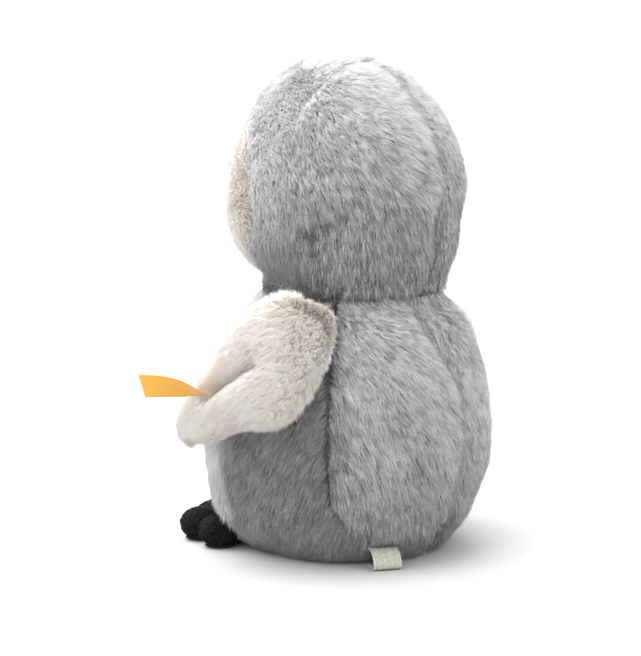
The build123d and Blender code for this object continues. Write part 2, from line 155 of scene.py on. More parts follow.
def grid_object(name, rows, flip=False, closed=False):
    """Mesh object from a grid of points: rows, columns and three coordinates."""
    high, wide = rows.shape[:2]
    index = np.arange(high * wide).reshape(high, wide)
    if closed:
        index = np.hstack([index, index[:, :1]])
    quads = np.stack([index[:-1, :-1], index[:-1, 1:], index[1:, 1:], index[1:, :-1]], axis=-1)
    if flip:
        quads = quads[..., ::-1]
    across = np.linspace(0.02, 0.98, index.shape[1])
    up = np.linspace(0.02, 0.98, high)
    corner_u = np.stack([across[:-1], across[1:], across[1:], across[:-1]], axis=-1)
    corner_v = np.stack([up[:-1], up[:-1], up[1:], up[1:]], axis=-1)
    shape = quads.shape
    u = np.broadcast_to(corner_u[None], shape)
    v = np.broadcast_to(corner_v[:, None], shape)
    if flip:
        u, v = u[..., ::-1], v[..., ::-1]
    loops = quads.reshape(-1)
    sizes = np.full(len(loops) // 4, 4)
    return make_object(name, rows.reshape(-1, 3), loops, sizes, np.stack([u, v], axis=-1).reshape(-1, 2))


def thicken(obj, thick, offset=-1):
    """Gives a sheet a closed thickness, on its inner side or with an offset of 0 on both."""
    solid = obj.modifiers.new("cloth", "SOLIDIFY")
    solid.thickness = thick * MM
    solid.offset = offset


def belongs(obj, material, body, slot, *nodes):
    """Gives a piece its material and its body, and hides the CAD nodes it stands for; its finish, slot, is
    not used.
    """
    obj.data.materials.append(material)
    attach(obj, body)
    if nodes:
        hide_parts(*nodes)


# ==== materials


def new_material(name, rough=0.8, sheen=0.0, specular=0.5):
    """Material with a Principled shader, its tree and that shader."""
    material = bpy.data.materials.new(name)
    material.use_nodes = True
    tree = material.node_tree
    shader = tree.nodes["Principled BSDF"]
    shader.inputs["Roughness"].default_value = rough
    shader.inputs["Sheen Weight"].default_value = sheen
    shader.inputs["Sheen Roughness"].default_value = 0.4
    shader.inputs["Specular IOR Level"].default_value = specular
    return material, tree, shader


def math_node(tree, operation, first, second):
    """Math node whose inputs are sockets or numbers; returns its output."""
    node = tree.nodes.new("ShaderNodeMath")
    node.operation = operation
    for socket, value in zip(node.inputs, (first, second)):
        if isinstance(value, (int, float)):
            socket.default_value = value
        else:
            tree.links.new(value, socket)
    return node.outputs[0]


def ramp_node(tree, source, stops):
    """Colour ramp fed by a socket; stops are (place, colour)."""
    ramp = tree.nodes.new("ShaderNodeValToRGB")
    elements = ramp.color_ramp.elements
    while len(elements) < len(stops):
        elements.new(0.5)
    for element, (place, colour) in zip(elements, stops):
        element.position = place
        element.color = (*colour, 1)
    tree.links.new(source, ramp.inputs["Fac"])
    return ramp.outputs["Color"]


def tint(tree, first, second):
    """Product of two colour sockets."""
    mix = tree.nodes.new("ShaderNodeMix")
    mix.data_type = "RGBA"
    mix.blend_type = "MULTIPLY"
    mix.inputs["Factor"].default_value = 1.0
    tree.links.new(first, mix.inputs["A"])
    tree.links.new(second, mix.inputs["B"])
    return mix.outputs["Result"]


def uv_parts(tree):
    """Sockets for the two coordinates of the mesh's own layer, u and v."""
    uv = tree.nodes.new("ShaderNodeUVMap")
    uv.uv_map = "OFBake"
    split = tree.nodes.new("ShaderNodeSeparateXYZ")
    tree.links.new(uv.outputs["UV"], split.inputs[0])
    return split.outputs["X"], split.outputs["Y"]


def pile_material(name, dark, light, sheen=0.25, through=0.5):
    """Plush pile: dark and light are ramps from root to tip along v, mixed by the strand's tone along u."""
    material, tree, shader = new_material(name, rough=0.75, sheen=sheen, specular=0.2)
    u, v = uv_parts(tree)
    mix = tree.nodes.new("ShaderNodeMix")
    mix.data_type = "RGBA"
    tree.links.new(u, mix.inputs["Factor"])
    tree.links.new(ramp_node(tree, v, dark), mix.inputs["A"])
    tree.links.new(ramp_node(tree, v, light), mix.inputs["B"])
    tree.links.new(mix.outputs["Result"], shader.inputs["Base Color"])
    glow = tree.nodes.new("ShaderNodeBsdfTranslucent")
    tree.links.new(mix.outputs["Result"], glow.inputs["Color"])
    both = tree.nodes.new("ShaderNodeMixShader")
    both.inputs["Fac"].default_value = through
    tree.links.new(shader.outputs[0], both.inputs[1])
    tree.links.new(glow.outputs[0], both.inputs[2])
    tree.links.new(both.outputs[0], tree.nodes["Material Output"].inputs["Surface"])
    return material


def noise_node(tree, scale, detail=3.0):
    """Noise over the object's own coordinates, which are metres; returns its factor."""
    place = tree.nodes.new("ShaderNodeTexCoord")
    noise = tree.nodes.new("ShaderNodeTexNoise")
    noise.inputs["Scale"].default_value = scale
    noise.inputs["Detail"].default_value = detail
    tree.links.new(place.outputs["Object"], noise.inputs["Vector"])
    return noise.outputs["Fac"]


def add_bump(tree, shader, height, distance, strength=0.6):
    """Bump from a height socket, with its depth in metres."""
    bump = tree.nodes.new("ShaderNodeBump")
    bump.inputs["Distance"].default_value = distance
    bump.inputs["Strength"].default_value = strength
    tree.links.new(height, bump.inputs["Height"])
    tree.links.new(bump.outputs["Normal"], shader.inputs["Normal"])


def cloth_material(name, dark, light, scale, depth=0.0002, rough=0.85, sheen=0.2):
    """Cloth in two close tones with a fine uneven surface."""
    material, tree, shader = new_material(name, rough, sheen, 0.25)
    fine = noise_node(tree, scale)
    tree.links.new(ramp_node(tree, fine, [(0.3, dark), (0.7, light)]), shader.inputs["Base Color"])
    add_bump(tree, shader, fine, depth)
    return material


def grey(value, blue=0.01):
    """Nearly neutral colour, a little cooler by blue."""
    return (value, value, value * (1 + blue))


GREY_PILE = pile_material(
    "grey_plush_pile",
    [(0.0, grey(0.05)), (0.45, grey(0.12)), (1.0, grey(0.32))],
    [(0.0, grey(0.60)), (0.45, grey(0.94)), (1.0, grey(0.99))],
)
LIGHT_PILE = pile_material(
    "light_plush_pile",
    [(0.0, grey(0.30, 0.04)), (0.5, grey(0.50, 0.04)), (1.0, grey(0.66, 0.03))],
    [(0.0, grey(0.62, 0.03)), (0.5, grey(0.86, 0.02)), (1.0, grey(0.96))],
)
CREAM_PILE = pile_material(
    "cream_plush_pile",
    [(0.0, (0.72, 0.60, 0.51)), (0.4, (0.80, 0.70, 0.62)), (1.0, (0.92, 0.87, 0.81))],
    [(0.0, (0.92, 0.87, 0.82)), (0.4, (0.97, 0.95, 0.92)), (1.0, (0.99, 0.98, 0.965))],
)
# The light ramp's lighter tips, taken by the few strands of high tone, are painted sheen on the velour.
VELOUR_PILE = pile_material(
    "black_velour_pile",
    [(0.0, grey(0.001)), (0.6, grey(0.002)), (1.0, grey(0.003))],
    [(0.0, grey(0.003)), (0.5, grey(0.02, 0.05)), (1.0, grey(0.11, 0.10))],
    sheen=0.0,
    through=0.1,
)
GREY_BACKING = cloth_material("grey_plush_backing", (0.10, 0.10, 0.105), (0.22, 0.22, 0.225), 900.0)
LIGHT_BACKING = cloth_material("light_plush_backing", (0.45, 0.45, 0.46), (0.6, 0.6, 0.61), 900.0)
CREAM_BACKING = cloth_material("cream_plush_backing", (0.55, 0.44, 0.36), (0.68, 0.57, 0.48), 900.0)
BLACK_VELOUR = cloth_material("black_velour", (0.002, 0.002, 0.002), (0.005, 0.005, 0.005), 1600.0,
                              0.0004, 0.9, 0.0)
WADDING = cloth_material("polyester_wadding", (0.72, 0.72, 0.71), (0.9, 0.9, 0.89), 260.0, 0.0008)
POUCH_CLOTH = cloth_material("pouch_cotton", (0.68, 0.67, 0.63), (0.82, 0.81, 0.77), 1500.0, 0.0001)


# ==== turned surfaces and their sewn panels


class Turned:
    """Surface turned about the upright axis, whose outline runs from the bottom up."""

    def __init__(self, outline, forward=np.zeros_like):
        self.forward = forward
        line = smooth_line(outline)
        self.arc = np.concatenate(([0], np.cumsum(np.hypot(*np.diff(line, axis=0).T))))
        self.r, self.z = line.T
        self.dr = np.gradient(self.r, self.arc)
        self.dz = np.gradient(self.z, self.arc)
        self.length = self.arc[-1]

    def radius(self, s):
        return np.interp(s, self.arc, self.r)

    def height(self, s):
        return np.interp(s, self.arc, self.z)

    def outline(self, s):
        """Radius, height and the direction along the outline, at arc lengths."""
        dr, dz = np.interp(s, self.arc, self.dr), np.interp(s, self.arc, self.dz)
        size = np.hypot(dr, dz)
        return self.radius(s), self.height(s), dr / size, dz / size

    def place(self, s, azimuth, lift=0.0):
        """Points, outward normals, and the downward and sideways directions, at arc lengths and azimuths."""
        r, z, dr, dz = self.outline(s)
        out_x, out_y = np.sin(azimuth), -np.cos(azimuth)
        normal = np.stack([dz * out_x, dz * out_y, -dr], axis=-1)
        down = np.stack([-dr * out_x, -dr * out_y, -dz], axis=-1)
        side = np.stack([np.cos(azimuth), np.sin(azimuth), np.zeros_like(azimuth)], axis=-1)
        points = np.stack([r * out_x, r * out_y - self.forward(z), z], axis=-1)
        return points + normal * np.asarray(lift)[..., None], normal, down, side


def inset(outline, distance):
    """Outline moved into the surface by a distance."""
    points = np.asarray(outline, float)
    along = np.gradient(points, axis=0)
    along /= np.linalg.norm(along, axis=1, keepdims=True)
    return [(r - distance * dz, z + distance * dr) for (r, z), (dr, dz) in zip(points, along)]


STAND = 7.4  # how far the pile stands above its backing
CROWN_FORWARD = 4.0  # how far the crown leans towards the face
CROWN_LEANS_FROM = 165.0  # the height that the lean starts at
MASK_TUCK_SIDE, MASK_TUCK_TOP = 1.6, 2.5  # how far the face's seam is drawn in
SKULL = [(HEAD_RADIUS * cos(radians(a)), HEAD_WIDE_Z + (HEAD_TOP_Z - HEAD_WIDE_Z) * sin(radians(a)))
         for a in range(0, 91, 10)]
BODY_ENDS = [(37.0, 1.2), (38.0, 3.0)], [(36.5, 112.0), (34.5, 115.0)]
HEAD_ENDS = [(33.6, 121.2), (34.6, 121.6)], [(0.4, HEAD_TOP_Z - STAND)]


def crown_lean(z):
    """How far the head's backing is moved towards the face at a height."""
    return CROWN_FORWARD * (np.clip(z - CROWN_LEANS_FROM, 0, None) / 57) ** 1.3


body_skin = Turned(BODY_ENDS[0] + inset(BODY_OUTLINE, STAND)[1:] + BODY_ENDS[1])
head_skin = Turned(HEAD_ENDS[0] + inset(JAW + SKULL, STAND)[:-1] + HEAD_ENDS[1], crown_lean)


def head_z_to_arc(z):
    """Arc length on the head's backing at a height."""
    return np.interp(z, head_skin.z, head_skin.arc)


def side_seam(s):
    """Azimuth of the body's side seam: it drifts back towards the floor."""
    z = body_skin.height(s)
    return np.radians(np.interp(z, [0, 8, 16, 24, 34, 120], [146, 143, 135, 124, 118, 117]))


def belly_seam(s):
    """Azimuth of the seam between the belly and the side."""
    z = body_skin.height(s)
    return np.radians(np.interp(z, [0, 20, 60, 120], [58, 62, 66, 62]))


def mask_edge(s):
    """Azimuth of the face's edge, an ellipse seen from the front."""
    z, r = head_skin.height(s), head_skin.radius(s) + STAND
    span = np.sqrt(np.clip(1 - ((z - MASK_Z) / MASK_HALF_HEIGHT) ** 2, 0, None))
    return np.arcsin(np.clip((MASK_HALF_WIDTH - MASK_TUCK_SIDE) * span / r, 0, 0.97))


def head_seam(s):
    """Azimuth of the seam over the head from side to side, which runs back at the crown."""
    z, r = head_skin.height(s), head_skin.radius(s) + STAND
    behind = np.interp(z, [118, 145, 160, 175, 200, 208, 215], [3, 0, -3, 0, 3, 8, 16])
    return np.arccos(np.clip(-behind / np.maximum(r, 1.0), -1, 1))


def back_seam(sign):
    """Azimuth of the centre back seam, seen from one side: it drifts to the left at the shoulders."""
    return lambda s: pi - sign * np.radians(np.interp(body_skin.height(s), [78, 108], [0, 15]))


def zero(s):
    return np.zeros_like(s)


def half_turn(s):
    return np.full_like(s, pi)


def pinch(distance, depth):
    """How far a seam draws the backing in, by the distance from it."""
    return -depth * np.exp(-((distance / (1.4 + 1.6 * depth)) ** 2))


class Panel:
    """A piece of cloth on a turned surface, between two azimuths that vary with the height."""

    def __init__(self, surface, low, high, first, last, sign=1, lumps=0.7, form=None, seams=(0.7, 0.7)):
        self.surface, self.low, self.high = surface, low, high
        self.first, self.last, self.sign = first, last, sign
        self.lumps, self.form = lumps, form
        self.seams = seams  # how deep the seam at each side is

    def spread(self, s):
        return self.last(s) - self.first(s)

    def at(self, s, t):
        """Points, normals, down, side and distance from the nearest seam, where t runs across the panel."""
        azimuth = self.first(s) + t * self.spread(s)
        width = self.surface.radius(s) * self.spread(s)
        edge = np.minimum(t, 1 - t) * width
        where, _, _, _ = self.surface.place(s, azimuth)
        lift = pinch(t * width, self.seams[0]) + pinch((1 - t) * width, self.seams[1])
        lift += self.lumps * lump(where, 17.0, 5) + 0.4 * self.lumps * lump(where, 7.0, 6)
        if self.form is not None:
            lift = lift + self.form(s, azimuth, where)
        points, normal, down, side = self.surface.place(s, azimuth, lift)
        if self.sign < 0:
            flip = np.array([-1.0, 1.0, 1.0])
            points, normal, down, side = points * flip, normal * flip, down * flip, side * flip
        return points, normal, down, side, edge

    def skin(self, name, body, material, slot, *nodes, rows=70, columns=44):
        """The panel's backing cloth as its own piece."""
        s, t = pairs(np.linspace(self.low, self.high, rows), np.linspace(0, 1, columns))
        points = self.at(s.ravel(), t.ravel())[0].reshape(rows, columns, 3)
        obj = grid_object(name, points, flip=self.sign < 0)
        thicken(obj, 0.8)
        belongs(obj, material, body, slot, *nodes)

    def area(self):
        s = np.linspace(self.low, self.high, 200)
        return float(np.mean(self.surface.radius(s) * self.spread(s)) * (self.high - self.low))

    def roots(self, count, rng):
        """Arc lengths and shares across for strand roots, spread evenly over the panel."""
        s = np.linspace(self.low, self.high, 400)
        weight = np.maximum(self.surface.radius(s) * self.spread(s), 1e-6)
        total = np.concatenate(([0], np.cumsum((weight[1:] + weight[:-1]) / 2)))
        pick = np.interp(rng.uniform(0, total[-1], count), total, s)
        return pick, rng.uniform(0, 1, count)


# ==== pile


# a strand's corners are its root, three round its bend, and its tip
STRAND_FACES = [(0, 2, 1), (0, 3, 2), (0, 1, 3), (1, 2, 4), (2, 3, 4), (3, 1, 4)]
TONE_BINS = 32


def tuft_numbers(points, size, seed):
    """Number of the uneven tuft that each point belongs to."""
    warp = np.stack([lump(points, size * 1.5, seed + i) for i in range(3)], axis=1)
    cell = np.floor(points / size + 0.9 * warp).astype(int)
    return np.unique(cell, axis=0, return_inverse=True)[1].ravel()


def strands(name, root, normal, comb, length, width, tone, rng, tufts, fleck, lean=(22, 66)):
    """Pile of closed tapering strands, each bent from its normal towards the comb direction.

    Tufts are (size, pull) pairs that draw neighbours together. Fleck is how much the smallest differ
    in tone, and lean is a strand's angle from its normal at its root and at its tip.
    """
    count = len(root)
    comb = unit(comb - (comb * normal).sum(1, keepdims=True) * normal)
    comb = unit(comb + 0.28 * rng.normal(size=(count, 3)))
    low, high = np.radians(lean[0]), np.radians(lean[1])
    start = unit(normal * np.cos(low) + comb * np.sin(low) + 0.12 * rng.normal(size=(count, 3)))
    finish = unit(normal * np.cos(high) + comb * np.sin(high) + 0.12 * rng.normal(size=(count, 3)))
    length = length[:, None]
    middle = root + start * length * 0.45
    tip = middle + finish * length * 0.55

    for size, pull in tufts:
        group = tuft_numbers(root, size, 20)
        number = np.bincount(group)
        for points, share in ((tip, pull), (middle, pull * 0.35)):
            for axis in range(3):
                mean = np.bincount(group, points[:, axis]) / number
                points[:, axis] += share * (mean[group] - points[:, axis])
    tone = np.clip(tone + fleck * rng.uniform(-1, 1, len(number))[group], 0, 0.999)
    tip[:, 2] = np.maximum(tip[:, 2], 0.25)
    middle[:, 2] = np.maximum(middle[:, 2], 0.6)

    axis = unit(tip - root)
    across = unit(np.cross(axis, rng.normal(size=(count, 3))))
    third = np.cross(axis, across)
    corners = np.empty((count, 5, 3))
    width = width[:, None]
    corners[:, 0] = root
    for i in range(3):
        turn = 2 * pi * i / 3
        corners[:, 1 + i] = middle + (across * cos(turn) + third * sin(turn)) * width / 2
    corners[:, 4] = tip

    bins = np.clip((tone * TONE_BINS).astype(int), 0, TONE_BINS - 1)
    centre = (bins + 0.5) / TONE_BINS
    half = 0.35 / TONE_BINS
    u_of = np.array([0, -half, 0, half, 0])
    v_of = np.array([0.03, 0.5, 0.5, 0.5, 0.97])
    corner_list = np.array([c for face in STRAND_FACES for c in face])
    sizes = np.tile([len(face) for face in STRAND_FACES], count)
    loops = (np.arange(count)[:, None] * 5 + corner_list[None]).ravel()
    uv = np.empty((count, len(corner_list), 2))
    uv[..., 0] = centre[:, None] + u_of[corner_list][None]
    uv[..., 1] = v_of[corner_list][None]
    return make_object(name, corners.reshape(-1, 3), loops, sizes, uv.reshape(-1, 2))


class Coat:
    """How a panel's pile looks: how dense and long it is, where it is combed, and its tones."""

    def __init__(self, material, density, length, width, comb, tone, tufts, fleck, spread=0.12):
        self.material, self.density, self.length, self.width = material, density, length, width
        self.comb, self.tone, self.tufts = comb, tone, tufts
        self.fleck, self.spread = fleck, spread  # tone differences between tufts, and between strands


MOST_STRANDS = 32500  # in one piece
EYE_BOX = np.array(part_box("left_eye")) * 1000
EYE_DOME = 4.0  # from the front of the eye to the middle of its dome
EYE_CLEAR = 5.4  # no strand has its root nearer than this to the middle
EYE = np.array([EYE_BOX[:, 0].mean(), EYE_BOX[0, 1] + EYE_DOME, EYE_BOX[:, 2].mean()])


def grow(panel, coat, name, body, slot, *nodes, seed=1):
    """Pile on a panel, in as many pieces as keep each one light."""
    total = int(panel.area() * coat.density)
    parts = 1 + total // MOST_STRANDS
    for part in range(parts):
        rng = np.random.default_rng(seed * 10 + part)
        s, t = panel.roots(total // parts, rng)
        t = (t + part) / parts
        shown = eye_gap(panel.at(s, t)[0]) > EYE_CLEAR
        s, t = s[shown], t[shown]
        points, normal, down, side, edge = panel.at(s, t)
        midline = np.where(points[:, 1] < 0, np.clip(np.abs(points[:, 0]) / 6.0, 0, 1), 1)
        angle = coat.comb(points, s, t) * midline
        comb = down * np.cos(angle)[:, None] + side * np.sin(angle)[:, None]
        top = np.clip((points[:, 2] - 207) / 8, 0, 1)[:, None]
        comb = comb * (1 - top) + np.array([0.0, 0.8, 0.0]) * top
        away = np.where(t < 0.5, 1.0, -1.0)[:, None] * side
        comb = comb + away * (0.25 * np.exp(-((edge / 2.0) ** 2)) * midline)[:, None]
        scatter = rng.uniform(0.8, 1.2, len(s)) * (1 - 0.1 * np.exp(-((edge / 1.5) ** 2)))
        length = coat.length * scatter * (1 + 0.12 * lump(points, 5.0, 31))
        length *= np.interp(eye_gap(points), [5.0, 13.0], [0.3, 1.0])
        width = coat.width * rng.uniform(0.7, 1.3, len(s))
        tone = coat.tone(points, s, t) + rng.normal(0, coat.spread, len(s))
        root = points - normal * 0.5
        label = name if parts == 1 else f"{name}_{part + 1}"
        obj = strands(label, root, normal, comb, length, width, tone, rng, coat.tufts, coat.fleck)
        belongs(obj, coat.material, body, slot, *nodes)


def mottled(points, coarse, fine):
    """Uneven tone of brushed pile: broad patches and fine flecks."""
    return coarse * lump(points, 9.0, 41) + fine * lump(points, 2.6, 42)


def side_level(z):
    return np.interp(z, [0, 14, 32, 52], [0.56, 0.52, 0.36, 0.30])


def back_tone(points, s, t):
    """Light and flecked, fading into the side's darker tone, and calmer on the right shoulder."""
    z = points[:, 2]
    level = np.interp(z, [0, 14, 30, 70, 115], [0.56, 0.56, 0.68, 0.78, 0.76])
    inside = t * body_skin.radius(s) * (pi - side_seam(s))
    share = np.clip(inside / 9.0 + 0.3 + 0.5 * lump(points, 5.0, 43), 0, 1)
    calm = np.clip((z - 84) / 10, 0, 1) * np.clip(-points[:, 0] / 8, 0, 1)
    flecks = mottled(points, 0.09, 0.24) * (1 - 0.7 * calm)
    return side_level(z) + (level - side_level(z)) * share + flecks - 0.12 * calm


def side_tone(points, s, t):
    return side_level(points[:, 2]) + mottled(points, 0.08, 0.15)


def even_tone(level, coarse, fine):
    """Tone that is the same all over, apart from its patches and flecks."""
    return lambda points, s, t: level + mottled(points, coarse, fine)


def head_back_tone(points, s, t):
    z = points[:, 2]
    fleck = np.interp(z, [135, 150, 195, 215], [0.08, 0.22, 0.22, 0.12])
    # Darker inside the dent: painted shade in the hollow.
    dent = 0.3 * hollow(s, np.arctan2(np.abs(points[:, 0]), -points[:, 1]), points)
    # Darker low on the head than on top: painted shade under the head.
    level = np.interp(z, [120, 145, 175, 200, 215], [0.42, 0.54, 0.76, 1.0, 1.1])
    return level + mottled(points, 0.08, 1.0) * fleck - dent


def crown_tone(points, s, t):
    z = points[:, 2]
    # Darker low on the head than on top: painted shade under the head.
    level = np.interp(z, [122, 140, 150, 165, 180, 205], [0.48, 0.6, 0.78, 1.0, 1.08, 1.0])
    # Cap: the front of the crown is made darker, painted shade that holds back the fill light falling on it.
    forward = np.degrees(np.arctan2(np.abs(points[:, 0]), -points[:, 1]))
    cap = np.clip((52 - forward) / 30, 0, 1) * np.interp(z, [150, 170], [0, 1])
    return level - 0.5 * cap + mottled(points, 0.08, 0.1)


def nap(heights, degrees, size, seed, wander=0.25):
    """Nap whose direction from straight down turns with the height, and wanders a little."""
    return lambda points, s, t: (np.radians(np.interp(points[:, 2], heights, degrees))
                                 + wander * lump(points, size, seed))


def face_comb(points, s, t):
    """The face's nap runs outwards from the beak."""
    down = MASK_Z - 4 - points[:, 2]
    out = np.abs(points[:, 0])
    return np.arctan2(out, down)


DOWN = nap([0, 120], [0, 0], 14.0, 53)
BACK_COAT = Coat(GREY_PILE, 6.4, 8.8, 0.21, nap([10, 50, 110], [4, 18, 40], 14.0, 51), back_tone,
                 ((3.4, 0.25), (1.0, 0.5)), 0.42, 0.16)
SIDE_COAT = Coat(GREY_PILE, 5.4, 9.2, 0.22, nap([10, 60, 110], [-8, -22, -25], 14.0, 52), side_tone,
                 ((3.4, 0.3), (1.2, 0.45)), 0.2)
BELLY_COAT = Coat(LIGHT_PILE, 4.2, 9.0, 0.23, DOWN, even_tone(0.66, 0.15, 0.2),
                  ((3.4, 0.3), (1.3, 0.45)), 0.25)
HEAD_COAT = Coat(GREY_PILE, 6.4, 8.4, 0.21, nap([122, 145, 170, 215], [0, 8, 34, 48], 12.0, 54, 0.2),
                 head_back_tone, ((3.0, 0.2), (0.95, 0.5)), 0.42, 0.16)
CROWN_COAT = Coat(GREY_PILE, 5.4, 8.2, 0.20, nap([122, 150, 200], [12, 35, 60], 12.0, 55, 0.2), crown_tone,
                  ((3.0, 0.12), (0.9, 0.3)), 0.14)
FACE_COAT = Coat(CREAM_PILE, 5.0, 7.2, 0.20, face_comb, even_tone(0.95, 0.12, 0.12),
                 ((3.0, 0.2), (1.1, 0.35)), 0.15)
# The neck's pile tone of 0.12 is painted shade of the crease under the head.
NECK_COAT = Coat(GREY_PILE, 2.4, 4.6, 0.28, DOWN, even_tone(0.12, 0.05, 0.1), ((2.0, 0.4),), 0.1)


def body_form(s, azimuth, points):
    """The chest is flatter than the back, and the belly rounder low down."""
    front = np.clip(np.cos(azimuth) * 1.6, 0, 1)
    return front * np.interp(points[:, 2], [0, 10, 22, 34, 50, 80, 92, 100, 106, 114],
                             [0, 3, 5.5, 3.5, 1.5, 0, -1.3, -1.2, -0.8, 0])


DENT_AZIMUTH, DENT_Z = 108.0, 147.0  # the middle of the dent


def hollow(s, azimuth, points):
    """Share of the dent in the side of the head."""
    back, up = np.degrees(azimuth) - DENT_AZIMUTH, points[:, 2] - DENT_Z
    along = back * 0.9 + up * 0.5
    across = up * 0.9 - back * 0.4
    return np.exp(-((along / 13) ** 2) - (across / 6.5) ** 2)


def head_form(s, azimuth, points):
    """The crown is combed flatter than the sides, which have a dent."""
    behind = np.clip(-np.cos(azimuth) * 1.5, 0, 1)
    nape = behind * np.interp(points[:, 2], [118, 122, 128, 138, 150], [6.0, 6.0, 5.0, 2.5, 0])
    return nape - 0.6 * np.clip((points[:, 2] - 188) / 26, 0, 1) - 2.6 * hollow(s, azimuth, points)


def eye_gap(points):
    """Distance from the middle of the nearest eye's dome."""
    mirrored = np.stack([np.abs(points[:, 0]), points[:, 1], points[:, 2]], axis=1)
    return np.linalg.norm(mirrored - EYE, axis=1)


def face_bulge(points):
    """How far the face's shorter pile stands past the cheeks."""
    return np.interp(points[:, 2], [118, 124, 131, 138, 145, 150, 165, 185, 205],
                     [-4, -3.3, 1.7, 5.2, 6.6, 6.6, 3.8, 4.0, 2.2])


def face_form(s, azimuth, points):
    """The face's bulge, on the head's own form."""
    drawn_in = 1 - np.exp(-((eye_gap(points) / 11.0) ** 2))
    return face_bulge(points) * drawn_in + head_form(s, azimuth, points)


def cheek_form(s, azimuth, points):
    """The cheek rises to meet the face's bulge."""
    away = (azimuth - mask_edge(s)) * head_skin.radius(s)
    return 0.8 * face_bulge(points) * np.exp(-((away / 9.0) ** 2)) + head_form(s, azimuth, points)


body_low, body_high = body_skin.arc[0], body_skin.arc[-1]
head_low, head_high = head_skin.arc[0], head_skin.arc[-1]


def make_body():
    """The body's five plush panels."""
    belly = Panel(body_skin, body_low, body_high, lambda s: -belly_seam(s), belly_seam, form=body_form)
    belly.skin("belly_panel_backing", "torso", LIGHT_BACKING, "light_plush", "belly_panel", columns=90)
    grow(belly, BELLY_COAT, "belly_panel_pile", "torso", "light_plush", "belly_panel", seed=2)
    for i, (side, sign) in enumerate(SIDES.items()):
        flank = Panel(body_skin, body_low, body_high, belly_seam, side_seam, sign, form=body_form,
                      seams=(0.7, 0.4))
        back = Panel(body_skin, body_low, body_high, side_seam, back_seam(sign), sign, form=body_form,
                     seams=(0.4, 2.0))
        panels = ((flank, "side_panel", "", SIDE_COAT, GREY_BACKING, "grey_plush", 4 + i),
                  (back, "back_panel", "", BACK_COAT, GREY_BACKING, "grey_plush", 6 + i))
        cover(panels, side, "torso")


def cover(panels, side, body):
    """Backing and pile for panels, each with its node, suffix, coat, backing, finish and seed."""
    for panel, node, part, _, backing, slot, _ in panels:
        panel.skin(f"{side}_{node}{part}_backing", body, backing, slot, f"{side}_{node}")
    for panel, node, part, coat, _, slot, seed in panels:
        grow(panel, coat, f"{side}_{node}{part}_pile", body, slot, f"{side}_{node}", seed=seed)


def make_head():
    """The head's six plush panels; each crown panel is made as its cheek and its top."""
    mask_high = head_z_to_arc(MASK_Z + MASK_HALF_HEIGHT - MASK_TUCK_TOP)
    seam_high = float(head_skin.arc[np.argmax(head_seam(head_skin.arc) > 3.1)])
    for i, (side, sign) in enumerate(SIDES.items()):
        face = Panel(head_skin, head_low, mask_high, zero, mask_edge, sign, form=face_form, seams=(0.2, 0.7))
        cheek = Panel(head_skin, head_low, mask_high, mask_edge, head_seam, sign, form=cheek_form)
        top = Panel(head_skin, mask_high, head_high, zero, head_seam, sign, form=head_form, seams=(0.2, 0.3))
        back = Panel(head_skin, head_low, seam_high, head_seam, half_turn, sign, form=head_form,
                     seams=(0.7, 1.8))
        panels = ((face, "face_panel", "", FACE_COAT, CREAM_BACKING, "cream_plush", 20 + i),
                  (cheek, "crown_panel", "_cheek", CROWN_COAT, GREY_BACKING, "grey_plush", 24 + i),
                  (top, "crown_panel", "_top", CROWN_COAT, GREY_BACKING, "grey_plush", 28 + i),
                  (back, "head_back_panel", "", HEAD_COAT, GREY_BACKING, "grey_plush", 32 + i))
        cover(panels, side, "head")


# ==== neck


def make_neck():
    """The short plush neck that turns with the head, seen only in the crease."""
    outline = [(33.0, 110.0), (35.8, 113.0), (36.6, 117.0), (35.6, 121.5), (32.0, 125.0)]
    neck_skin = Turned(outline)
    ring = Panel(neck_skin, neck_skin.arc[0], neck_skin.arc[-1], zero, lambda s: 2 * half_turn(s), lumps=0.3)
    ring.skin("neck_plush_backing", "neck", GREY_BACKING, "grey_plush", "neck_stuffing", rows=16, columns=120)
    grow(ring, NECK_COAT, "neck_plush_pile", "neck", "grey_plush", "neck_stuffing", seed=40)


# ==== wings

WING_OUTLINE = [(-8.0, 116.5), (-28.0, 112.0), (-31.0, 88.0), (-22.0, 68.0), (0.0, 59.5), (22.0, 50.0),
                (37.5, 52.5), (38.5, 63.0), (23.7, 84.0), (13.2, 103.5)]
WING_BACKING = [(69.0, 38.0), (66.2, 50.0), (62.5, 81.0), (53.0, 104.0), (42.0, 120.0)]
WING_FLARE = 7.0
HINGE_MID = (53.9, 103.6)
HINGE_SLOPE = -0.594
WING_MIDDLE = 6.6  # distance of the wing's middle layer from the flank
WING_ROOT = 1.6  # the same where the wing is sewn on
WING_RISE = {1: 17.0, -1: 32.0}  # how far from the sewn root each wing reaches its full distance
WING_HALF = 2.9  # how far the stuffing pushes each side out
WING_HEM_IN = 5.2  # the cloth's edge lies this far inside the pile's outline
SHOULDER_Z = 85.0
RIGHT_SLUMP = 0.4  # how much the right wing has sunk above its shoulder
WING_TIP = np.array([32.0, 46.0])  # where the wing's nap runs to
FOLD = [(19.0, 70.5), (12.0, 76.5), (5.0, 81.5), (-3.0, 87.0)]  # crease from the ribbon across the wing
CREASE_DEPTH = 1.9


def hinge_turn(degrees_out):
    """Matrix that turns the left wing out about its sewn root."""
    out_x, out_y = sin(radians(SIDE_SEAM)), -cos(radians(SIDE_SEAM))
    root = Vector((out_x * HINGE_MID[0], out_y * HINGE_MID[0], HINGE_MID[1]))
    axis = Vector((HINGE_SLOPE * out_x, HINGE_SLOPE * out_y, 1.0)).normalized()
    turn = Matrix.Rotation(radians(degrees_out), 4, axis)
    return Matrix.Translation(root) @ turn @ Matrix.Translation(-root)


